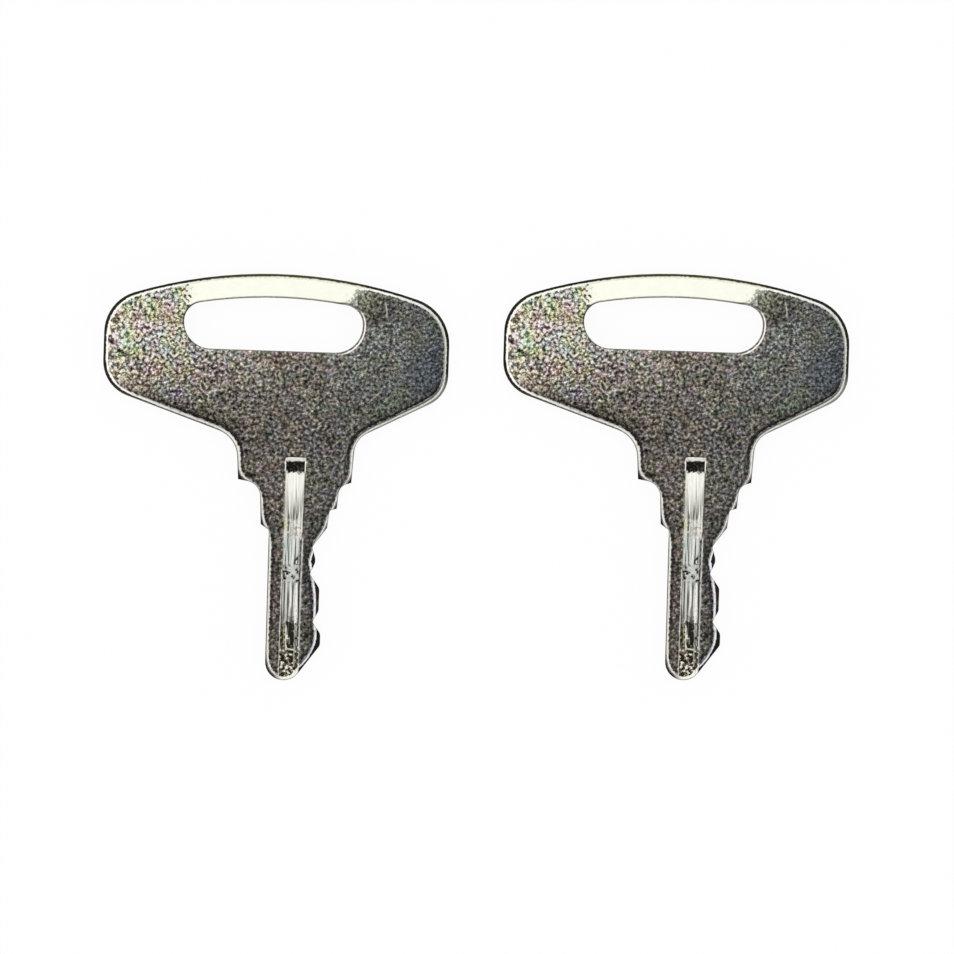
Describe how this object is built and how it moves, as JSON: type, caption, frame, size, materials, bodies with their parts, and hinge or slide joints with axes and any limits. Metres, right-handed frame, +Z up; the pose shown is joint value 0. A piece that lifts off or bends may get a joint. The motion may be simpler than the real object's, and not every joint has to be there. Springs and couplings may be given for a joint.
{
  "type": "selector switch keys",
  "caption": "Flat stamped metal keys for a key-operated selector switch: wide bow with a ring slot, stop shoulder, stepped collar and a cut blade with a milled groove.",
  "frame": {"origin": "centre of the footprint of the two keys, on the surface that they lie on", "axes": "+X along the row, from the left key to the right key; +Y from the blades towards the bows; +Z up, out of the fronts of the keys"},
  "size_m": [0.0796, 0.0434, 0.002],
  "materials": {
    "nickel_plate": "nickel plate over tumbled, fine-grained stamped steel, with brighter rolled edges and a milled groove"
  },
  "bodies": {
    "left_key": {"left_key": "nickel_plate"},
    "right_key": {"right_key": "nickel_plate"}
  },
  "joints": [
    {"name": "right_key_lift", "type": "slide", "parent": "left_key", "child": "right_key", "axis": [0, 0, 1], "range_m": [0, 0.04]}
  ]
}
